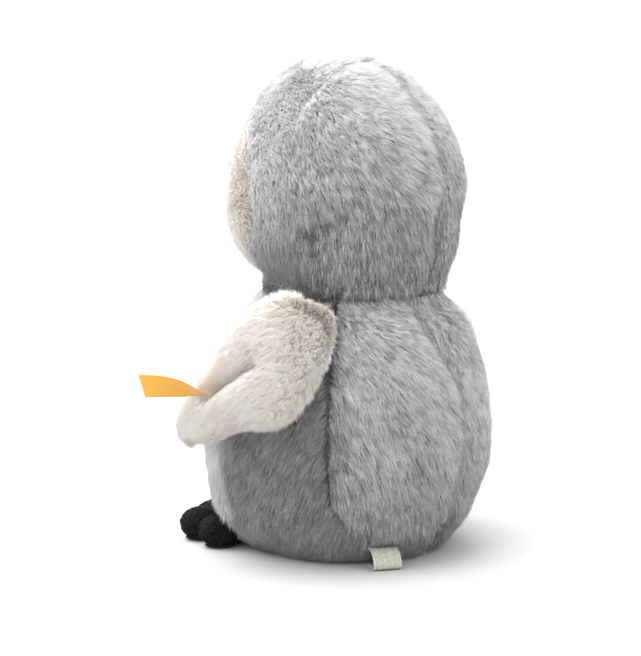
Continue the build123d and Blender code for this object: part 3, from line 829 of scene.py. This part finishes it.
class Wing:
    """A stuffed leaf of two cloths bent round the flank, seen from the side as (forward, height)."""

    def __init__(self, sign):
        self.sign = sign
        self.backing = Turned(WING_BACKING)
        self.edge = smooth_line(WING_OUTLINE, 16, closed=True)
        slump = RIGHT_SLUMP if sign < 0 else 0.0
        self.edge[:, 1] -= slump * np.maximum(self.edge[:, 1] - SHOULDER_Z, 0)
        self.middle = self.edge.mean(axis=0)
        inward = self.middle - self.edge
        reach = np.linalg.norm(inward, axis=1, keepdims=True)
        self.hem = self.edge + inward / reach * WING_HEM_IN
        self.matrix = np.array(hinge_turn(WING_FLARE))
        self.fold = smooth_line(FOLD, 12)

    def on_flank(self, leaf, distance):
        """Points at leaf coordinates and a distance from the flank."""
        r, z, dr, dz = self.backing.outline(np.interp(leaf[:, 1], self.backing.z, self.backing.arc))
        r, z = r + distance * dz, z - distance * dr
        y = -leaf[:, 0]
        x = np.sqrt(np.maximum(r**2 - y**2, 1.0))
        points = np.stack([x, y, z], axis=1) @ self.matrix[:3, :3].T + self.matrix[:3, 3]
        return points * [self.sign, 1, 1]

    def rise(self, leaf):
        """Share of the wing's full height over the flank, which grows away from the sewn root."""
        hinge = -24.5 + 0.27 * (leaf[:, 1] - HINGE_MID[1])
        part = np.clip((leaf[:, 0] - hinge) / WING_RISE[self.sign], 0, 1)
        return part * part * (3 - 2 * part)

    def fold_gap(self, leaf):
        """Distance from the fold."""
        return np.linalg.norm(leaf[:, None] - self.fold[None], axis=2).min(axis=1)

    def at(self, ring, share, layer):
        """Points on the cloth: ring runs round the hem, and share from the middle to the hem.

        The layer is 1 outside and -1 inside.
        """
        count = len(self.hem)
        place = ring * count
        low = np.floor(place).astype(int)
        part = (place - low)[:, None]
        hem = self.hem[low % count] * (1 - part) + self.hem[(low + 1) % count] * part
        leaf = self.middle + (hem - self.middle) * share[:, None]
        rise = self.rise(leaf)
        swell = WING_HALF * np.sqrt(np.clip(1 - share**2.4, 0, 1)) * (0.35 + 0.65 * rise)
        crease = CREASE_DEPTH * np.exp(-((self.fold_gap(leaf) / 2.4) ** 2)) * (layer > 0)
        rough = 0.5 * lump(np.c_[leaf, np.full(len(leaf), 7.0 * layer)], 9.0, 61)
        middle = WING_ROOT + (WING_MIDDLE - WING_ROOT) * rise
        distance = middle + layer * swell * (1 + 0.12 * rough) - crease * rise + 0.5 * rough * (share < 0.98)
        return self.on_flank(leaf, distance), leaf

    def cloth(self, name, layer, body, *nodes):
        rings, shares = 120, 26
        share, ring = pairs(np.linspace(0.02, 1, shares) ** 0.8, np.linspace(0, 1, rings, endpoint=False))
        points, _ = self.at(ring.ravel(), share.ravel(), layer)
        obj = grid_object(name, points.reshape(shares, rings, 3), flip=(self.sign * layer < 0), closed=True)
        thicken(obj, 0.7)
        belongs(obj, CREAM_BACKING, body, "cream_plush", *nodes)

    def pile(self, name, layer, body, count, seed, *nodes):
        rng = np.random.default_rng(seed)
        ring = rng.uniform(0, 1, count)
        share = np.sqrt(rng.uniform(0, 1, count))
        share = np.where(rng.uniform(0, 1, count) < 0.12, rng.uniform(0.93, 1.0, count), share)
        points, leaf = self.at(ring, share, layer)
        step = 0.01
        round_it, _ = self.at(ring + step / 4, share, layer)
        out_it, _ = self.at(ring, np.clip(share - step * 2, 0.01, 1), layer)
        normal = unit(np.cross(round_it - points, points - out_it))
        here = self.on_flank(leaf, np.full(count, WING_MIDDLE))
        facing = self.on_flank(leaf, np.full(count, WING_MIDDLE + 5.0 * layer)) - here
        normal *= np.sign((normal * facing).sum(1, keepdims=True))
        outwards = unit(points - out_it)
        rim = np.clip((share - 0.85) / 0.15, 0, 1)[:, None]
        normal = unit(normal * (1 - 0.55 * rim) + outwards * 0.8 * rim)
        towards = WING_TIP - leaf
        towards /= np.maximum(np.linalg.norm(towards, axis=1, keepdims=True), 12.0)
        comb = unit(self.on_flank(leaf + towards, np.full(count, WING_MIDDLE)) - here)
        long_at_tip = 1 + 0.35 * np.exp(-((np.linalg.norm(leaf - WING_TIP, axis=1) / 16) ** 2))
        width = 0.19 * rng.uniform(0.7, 1.3, count)
        gap = self.fold_gap(leaf)
        short_in_fold = 1 - 0.6 * np.exp(-((gap / 3.0) ** 2)) * (layer > 0)
        length = 7.6 * rng.uniform(0.7, 1.3, count) * (0.72 + 0.28 * self.rise(leaf))
        length *= long_at_tip * short_in_fold
        # The outer cloth's turned front rim near the tip is made darker below: painted shade on the turned
        # edge.
        front = np.exp(-((leaf[:, 0] - 37.0) / 4.5) ** 2) * (layer > 0) * (share > 0.8)
        tone = 0.82 + mottled(points, 0.2, 0.16) + rng.normal(0, 0.09, count)
        # Darker along the fold on the outer side: painted shade in the crease.
        tone -= 0.9 * np.exp(-((gap / 1.8) ** 2)) * (layer > 0) + 0.6 * front
        obj = strands(name, points - normal * 0.4, normal, comb, length, width, tone, rng,
                      ((4.0, 0.3), (1.1, 0.35)), 0.25, lean=(18, 58))
        belongs(obj, CREAM_PILE, body, "cream_plush", *nodes)


def make_wings():
    for i, (side, sign) in enumerate(SIDES.items()):
        wing = Wing(sign)
        body = f"{side}_wing"
        outer, inner, fill = f"{body}_outer_panel", f"{body}_inner_panel", f"{body}_stuffing"
        wing.cloth(outer + "_backing", 1, body, outer, fill)
        wing.cloth(inner + "_backing", -1, body, inner)
        for part in (1, 2):
            wing.pile(f"{outer}_pile_{part}", 1, body, 29000, 70 + 2 * i + part, outer)
        wing.pile(inner + "_pile", -1, body, 30000, 78 + i, inner)


# ==== ribbon and label

RIBBON_ROOT = (82.6, -12.0, 77.8)
RIBBON_HEADING = 37.0
RIBBON_LENGTH = 29.5
RIBBON_RISE = 4.4
RIBBON_WIDTH = 10.0
LABEL_AZIMUTH = 144.0
LABEL_WIDTH = 12.5
LABEL_FOLD = [(46.0, 8.4), (50.0, 8.2), (53.6, 6.2), (55.6, 3.2), (55.2, 0.9), (52.0, 0.6), (46.0, 0.6)]


def strip(name, lines, across, thick, ribs=0.0, pitch=1.0):
    """Ribbon whose edges follow a centre line with a width direction at each point; ribs run along it."""
    v = np.linspace(-0.5, 0.5, 49)
    rows = lines[:, None] + across[:, None] * v[None, :, None]
    along = np.gradient(lines, axis=0)
    normal = unit(np.cross(along, across))
    wide = np.linalg.norm(across, axis=1)[:, None]
    wave = ribs * np.cos(2 * pi * v[None] * wide / pitch)
    rows = rows + normal[:, None] * wave[..., None]
    obj = grid_object(name, rows)
    thicken(obj, thick, 0)
    return obj


def ribbon_material():
    """Satin ribbon: fine weave across, a little darker along the edges."""
    material, tree, shader = new_material("yellow_satin_ribbon", rough=0.5, sheen=0.15, specular=0.35)
    u, v = uv_parts(tree)
    rim, cloth = (0.46, 0.19, 0.016), (0.56, 0.285, 0.034)
    edges = ramp_node(tree, u, [(0.0, rim), (0.07, cloth), (0.93, cloth), (1.0, rim)])
    # Darker and redder towards the sewn root: painted shade where the wing pinches the ribbon.
    length = ramp_node(tree, v, [(0.0, (0.85, 0.62, 0.5)), (0.25, (1.0, 0.98, 0.95)), (1.0, (1.0, 1.0, 1.0))])
    tree.links.new(tint(tree, edges, length), shader.inputs["Base Color"])
    weave = [math_node(tree, "SINE", math_node(tree, "MULTIPLY", socket, threads), 0.0)
             for socket, threads in ((v, 520.0), (u, 240.0))]
    add_bump(tree, shader, math_node(tree, "ADD", *weave), 0.00006, 0.5)
    return material


def make_ribbon():
    """The plain ribbon sewn into the left wing's front edge: pinched there and twisting to its free end."""
    count = 60
    u = np.linspace(0, 1, count)
    heading = radians(RIBBON_HEADING)
    ahead = np.array([sin(heading), -cos(heading), 0.0])
    up = np.array([0.0, 0.0, 1.0])
    out = np.cross(ahead, up)
    bow = np.sin(u * pi)
    centre = np.array(RIBBON_ROOT) + ahead * (u[:, None] * RIBBON_LENGTH)
    centre = centre + up * (u * RIBBON_RISE + 1.2 * bow)[:, None] + out * bow[:, None]
    twist = np.radians(78 * (1 - u) ** 1.7 + 6)
    wide = RIBBON_WIDTH * np.interp(u, [0, 0.12, 0.4, 1.0], [0.45, 0.72, 0.98, 1.0])
    across = (up * np.cos(twist)[:, None] - out * np.sin(twist)[:, None]) * wide[:, None]
    across = across + ahead * (0.09 * RIBBON_LENGTH * u**6)[:, None]
    ribbon = strip("flag_tag_ribbon", centre, across, 0.35)
    belongs(ribbon, ribbon_material(), "flag_tag", "yellow_ribbon", "flag_tag")


def make_label():
    """The folded label of ribbed tape in the side seam, lying out on the floor."""
    ahead = np.array([sin(radians(LABEL_AZIMUTH)), -cos(radians(LABEL_AZIMUTH)), 0.0])
    side = np.array([cos(radians(LABEL_AZIMUTH)), sin(radians(LABEL_AZIMUTH)), 0.0])
    up = np.array([0.0, 0.0, 1.0])
    fold = smooth_line(LABEL_FOLD, 10)
    centre = ahead * fold[:, :1] + up * fold[:, 1:]
    across = np.repeat(side[None] * LABEL_WIDTH, len(fold), axis=0)
    label = strip("care_label_tape", centre, across, 0.4, ribs=0.24, pitch=1.15)
    tape = cloth_material("ribbed_tape", (0.25, 0.25, 0.22), (0.40, 0.40, 0.36), 900.0, 0.00005, 0.6)
    belongs(label, tape, "care_label", "ribbed_label_tape", "care_label")


# ==== feet

TOES = [(21.0, 65.5), (34.0, 69.0), (47.5, 60.5)]
TOE_RADIUS = 7.4
FOOT_AZIMUTH = 33.0
HEEL_AT = 50.0
VELOUR_STRAND = 0.16  # width of the short pile's strands


def blob_mesh(name, blobs, voxel, smooth):
    """One smooth closed form from overlapping ellipsoids, as (centre, radii, turn about z)."""
    mesh = bpy.data.meshes.new(name)
    bm = bmesh.new()
    for centre, radii, turn in blobs:
        matrix = (Matrix.Translation(Vector(centre) * MM) @ Matrix.Rotation(turn, 4, "Z")
                  @ Matrix.Diagonal((*[r * MM for r in radii], 1.0)))
        bmesh.ops.create_icosphere(bm, subdivisions=4, radius=1.0, matrix=matrix)
    bm.to_mesh(mesh)
    bm.free()
    obj = bpy.data.objects.new(name, mesh)
    bpy.context.scene.collection.objects.link(obj)
    remesh = obj.modifiers.new("remesh", "REMESH")
    remesh.mode = "VOXEL"
    remesh.voxel_size = voxel * MM
    soften = obj.modifiers.new("soften", "SMOOTH")
    soften.iterations = smooth
    apply_modifiers(obj)
    return obj


def apply_modifiers(obj):
    """Turns an object's modifiers into its mesh."""
    graph = bpy.context.evaluated_depsgraph_get()
    mesh = bpy.data.meshes.new_from_object(obj.evaluated_get(graph), depsgraph=graph)
    obj.modifiers.clear()
    obj.data = mesh


def mesh_arrays(obj):
    """An object's vertices in millimetres, its vertex normals, and its triangles' corners."""
    mesh = obj.data
    points = np.empty(len(mesh.vertices) * 3, np.float32)
    mesh.vertices.foreach_get("co", points)
    normals = np.empty(len(mesh.vertices) * 3, np.float32)
    mesh.vertices.foreach_get("normal", normals)
    mesh.calc_loop_triangles()
    corners = np.empty(len(mesh.loop_triangles) * 3, np.int32)
    mesh.loop_triangles.foreach_get("vertices", corners)
    return points.reshape(-1, 3) / MM, normals.reshape(-1, 3), corners.reshape(-1, 3)


def fuzz(obj, name, count, length, comb, tone, seed):
    """Short pile all over a mesh."""
    rng = np.random.default_rng(seed)
    points, normals, corners = mesh_arrays(obj)
    a, b, c = points[corners[:, 0]], points[corners[:, 1]], points[corners[:, 2]]
    area = np.linalg.norm(np.cross(b - a, c - a), axis=1)
    pick = rng.choice(len(corners), count, p=area / area.sum())
    w = rng.dirichlet((1, 1, 1), count)
    root = (points[corners[pick]] * w[..., None]).sum(1)
    normal = unit((normals[corners[pick]] * w[..., None]).sum(1))
    size = length * rng.uniform(0.7, 1.3, count)
    tones = tone + 0.25 * lump(root, 2.2, 81) + rng.normal(0, 0.15, count)
    width = VELOUR_STRAND * rng.uniform(0.7, 1.3, count)
    return strands(name, root - normal * 0.2, normal, comb(root), size, width, tones, rng,
                   ((1.6, 0.45),), 0.4, lean=(15, 50))


def polar_point(azimuth, radius, height):
    return (sin(radians(azimuth)) * radius, -cos(radians(azimuth)) * radius, height)


def outwards_and_down(root):
    """Directions away from the middle of the toy and towards the floor."""
    away = root.copy()
    away[:, 2] = -0.3 * np.linalg.norm(away[:, :2], axis=1)
    return unit(away)


def forwards(root):
    return np.tile([0.0, -1.0, -0.1], (len(root), 1))


def make_feet():
    """Each foot: three plump velour toes from one heel, on a flat velour sole."""
    for i, (side, sign) in enumerate(SIDES.items()):
        foot = f"{side}_foot"
        blobs = []
        for azimuth, radius in TOES:
            aim = radians(FOOT_AZIMUTH * 0.5 + azimuth * 0.5) - pi / 2
            toe = polar_point(azimuth, radius - 1.5, 7.6)
            blobs.append((toe, (8.8, TOE_RADIUS - 0.9, 7.0), aim))
            instep = polar_point((azimuth + FOOT_AZIMUTH) / 2, (radius + HEEL_AT) / 2 - 2, 7.0)
            blobs.append((instep, (9.5, 5.0, 5.6), aim))
        blobs.append((polar_point(FOOT_AZIMUTH, HEEL_AT, 8.0), (10.5, 10.5, 7.4), 0.0))
        if sign < 0:
            blobs = [((-x, y, z), radii, -turn) for (x, y, z), radii, turn in blobs]
        upper = blob_mesh(f"{foot}_upper_velour", blobs, 0.8, 3)
        points, normals, _ = mesh_arrays(upper)
        points = points + normals * (0.35 * lump(points, 2.2, 82) + 0.2 * lump(points, 1.0, 83))[:, None]
        points[:, 2] = np.maximum(points[:, 2], 1.2)
        upper.data.vertices.foreach_set("co", (points * MM).astype(np.float32).ravel())
        upper.data.update()
        upper.data.polygons.foreach_set("use_smooth", np.ones(len(upper.data.polygons), bool))
        belongs(upper, BLACK_VELOUR, foot, "black_velour", f"{foot}_upper_panel", f"{foot}_stuffing")
        pile = fuzz(upper, f"{foot}_velour_pile", 22000, 1.5, outwards_and_down, 0.15, 84 + i)
        belongs(pile, VELOUR_PILE, foot, "black_velour", f"{foot}_upper_panel")
        flat = [((x, y, 1.1), (radii[0] * 0.8, radii[1] * 0.8, 0.9), turn)
                for (x, y, _), radii, turn in blobs]
        sole = blob_mesh(f"{foot}_sole_velour", flat, 0.5, 2)
        belongs(sole, BLACK_VELOUR, foot, "black_velour", f"{foot}_sole_panel")


# ==== face

BEAK_Z = 157.0
BEAK_BASE_Y = -46.0
BEAK_TIP_Y = -65.2
BEAK_RADIUS = 6.6


def make_beak():
    """Two velour halves of a short blunt beak, closed along the mouth."""
    for jaw, sign in {"upper": 1, "lower": -1}.items():
        rows, columns = 40, 33
        u, turn = pairs(np.linspace(0, 1, rows), np.linspace(0, pi, columns))
        radius = BEAK_RADIUS * (1 - u**2.3) ** 0.62
        y = BEAK_BASE_Y + (BEAK_TIP_Y - BEAK_BASE_Y) * u
        mouth = 0.55 * (np.sin(turn) ** 0.35)
        droop = -1.6 * u**2
        x = radius * np.cos(turn)
        z = BEAK_Z + droop + sign * (0.05 + mouth * radius / BEAK_RADIUS + radius * np.sin(turn) * 0.92)
        points = np.stack([x, y, z], axis=-1)
        wobble = 0.15 * lump(points.reshape(-1, 3), 2.5, 91).reshape(rows, columns, 1)
        points = points + wobble * np.array([0, 0, 1.0])
        half = grid_object(f"beak_{jaw}_velour", points, flip=sign < 0)
        thicken(half, 0.7)
        stuffing = ["beak_stuffing"] if sign > 0 else []
        belongs(half, BLACK_VELOUR, "head", "black_velour", f"beak_{jaw}_panel", *stuffing)
        pile = fuzz(half, f"beak_{jaw}_velour_pile", 5000, 1.2, forwards, 0.4, 95 + sign)
        belongs(pile, VELOUR_PILE, "head", "black_velour", f"beak_{jaw}_panel")


def finish_eyes():
    """The CAD eyes and their washers keep their shape and get moulded plastic."""
    gloss, tree, shader = new_material("black_eye_plastic", rough=0.06, specular=0.25)
    spot = noise_node(tree, 700.0, 4.0)
    for socket, stops in (("Base Color", [(0.3, (0.004, 0.004, 0.004)), (0.8, (0.013, 0.011, 0.010))]),
                          ("Roughness", [(0.2, (0.07, 0.07, 0.07)), (0.8, (0.15, 0.15, 0.15))])):
        tree.links.new(ramp_node(tree, spot, stops), shader.inputs[socket])
    shader.inputs["Coat Weight"].default_value = 0.6
    plain = cloth_material("white_washer_plastic", (0.72, 0.72, 0.70), (0.82, 0.82, 0.80), 500.0,
                           0.00003, 0.45, 0.0)
    beads = cloth_material("pellet_plastic", (0.60, 0.60, 0.55), (0.80, 0.80, 0.76), 400.0, 0.00005, 0.4, 0.0)
    for side in SIDES:
        paint(f"{side}_eye", gloss)
        paint(f"{side}_eye_washer", plain)
    paint("pellets", beads)


def paint(node, material):
    """Gives a CAD node a material."""
    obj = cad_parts[node]
    obj.data.materials.clear()
    obj.data.materials.append(material)


# ==== inside and under


def closed_form(name, outline, body, slot, material, node, seed, size=12.0, depth=1.0, rows=44,
                columns=72):
    """Closed turned form with an uneven surface, in lumps of a size and depth."""
    surface = Turned(outline)
    s, azimuth = pairs(np.linspace(0, surface.length, rows), np.linspace(0, 2 * pi, columns, endpoint=False))
    points, normal, _, _ = surface.place(s.ravel(), azimuth.ravel())
    points = points - normal * (depth * (0.5 + 0.5 * lump(points, size, seed)))[:, None]
    obj = grid_object(name, points.reshape(rows, columns, 3), closed=True)
    belongs(obj, material, body, slot, node)


BODY_WADDING = [(0.3, 27.0), (30.0, 26.0), (52.0, 34.0), (57.0, 50.0), (53.0, 80.0), (43.0, 102.0),
                (28.0, 108.0), (0.3, 109.0)]
HEAD_WADDING = [(0.3, 141.0), (30.0, 132.0), (40.0, 136.0), (45.0, 160.0), (39.0, 190.0), (22.0, 209.0),
                (0.3, 215.0)]
BEAN_BAG = [(0.3, 4.2), (24.0, 4.2), (34.5, 9.0), (36.8, 14.0), (33.0, 20.0), (20.0, 23.8), (0.3, 24.0)]
BASE_CLOTH = [(0.3, 0.15), (20.0, 0.1), (36.0, 0.15), (37.7, 0.9), (36.6, 2.0), (20.0, 2.2), (0.3, 2.2)]


def make_inside():
    closed_form("body_wadding", BODY_WADDING, "torso", "polyester_fill", WADDING, "body_stuffing", 101)
    closed_form("head_wadding", HEAD_WADDING, "head", "polyester_fill", WADDING, "head_stuffing", 102)
    closed_form("bean_bag", BEAN_BAG, "torso", "pouch_cloth", POUCH_CLOTH, "pellet_pouch", 103, 9.0, 0.5)
    closed_form("base_panel_cloth", BASE_CLOTH, "torso", "grey_plush", GREY_BACKING, "base_panel", 104,
                depth=0.0, rows=60, columns=120)


make_body()
make_head()
make_neck()
make_wings()
make_ribbon()
make_label()
make_feet()
make_beak()
finish_eyes()
make_inside()

# ==== studio


SKY_STRENGTH = 2.35
KEY_STRENGTH, KEY_SPREAD = 6.2, 70.0
FILL_STRENGTH, FILL_SPREAD = 1.4, 100.0
FLOOR_WHITE = 0.345


def studio():
    """White surroundings, a pale floor, a broad light from above and a weaker one from the left."""
    scene = bpy.context.scene
    scene.view_settings.view_transform = "Standard"
    world = bpy.data.worlds.new("studio")
    world.use_nodes = True
    background = world.node_tree.nodes["Background"]
    background.inputs["Color"].default_value = (1, 1, 1, 1)
    path = world.node_tree.nodes.new("ShaderNodeLightPath")
    seen = world.node_tree.nodes.new("ShaderNodeMapRange")
    seen.inputs["To Min"].default_value = SKY_STRENGTH
    seen.inputs["To Max"].default_value = 1.0
    world.node_tree.links.new(path.outputs["Is Camera Ray"], seen.inputs["Value"])
    world.node_tree.links.new(seen.outputs["Result"], background.inputs["Strength"])
    scene.world = world
    bpy.ops.mesh.primitive_plane_add(size=30)
    floor = bpy.context.object
    floor.name = "floor"
    material, _, shader = new_material("floor_paper", rough=0.9, specular=0.1)
    shader.inputs["Base Color"].default_value = (FLOOR_WHITE, FLOOR_WHITE * 0.985, FLOOR_WHITE * 0.975, 1)
    floor.data.materials.append(material)
    towards_camera = Vector((sin(radians(CAMERA_AZIMUTH)), -cos(radians(CAMERA_AZIMUTH)), 0))
    camera_left = Vector((towards_camera.y, -towards_camera.x, 0))
    above = Vector((0, 0, 1))
    add_sun("key_light", above - towards_camera * 0.25 + camera_left * 0.3, KEY_STRENGTH, KEY_SPREAD)
    add_sun("fill_light", camera_left + above * 0.55 + towards_camera * 0.15, FILL_STRENGTH, FILL_SPREAD)


def add_sun(name, source, strength, spread):
    """Broad distant light that comes from a direction, spread over an angle in degrees."""
    data = bpy.data.lights.new(name, "SUN")
    data.energy = strength
    data.angle = radians(spread)
    light = bpy.data.objects.new(name, data)
    light.rotation_euler = source.to_track_quat("Z", "Y").to_euler()
    bpy.context.scene.collection.objects.link(light)


studio()
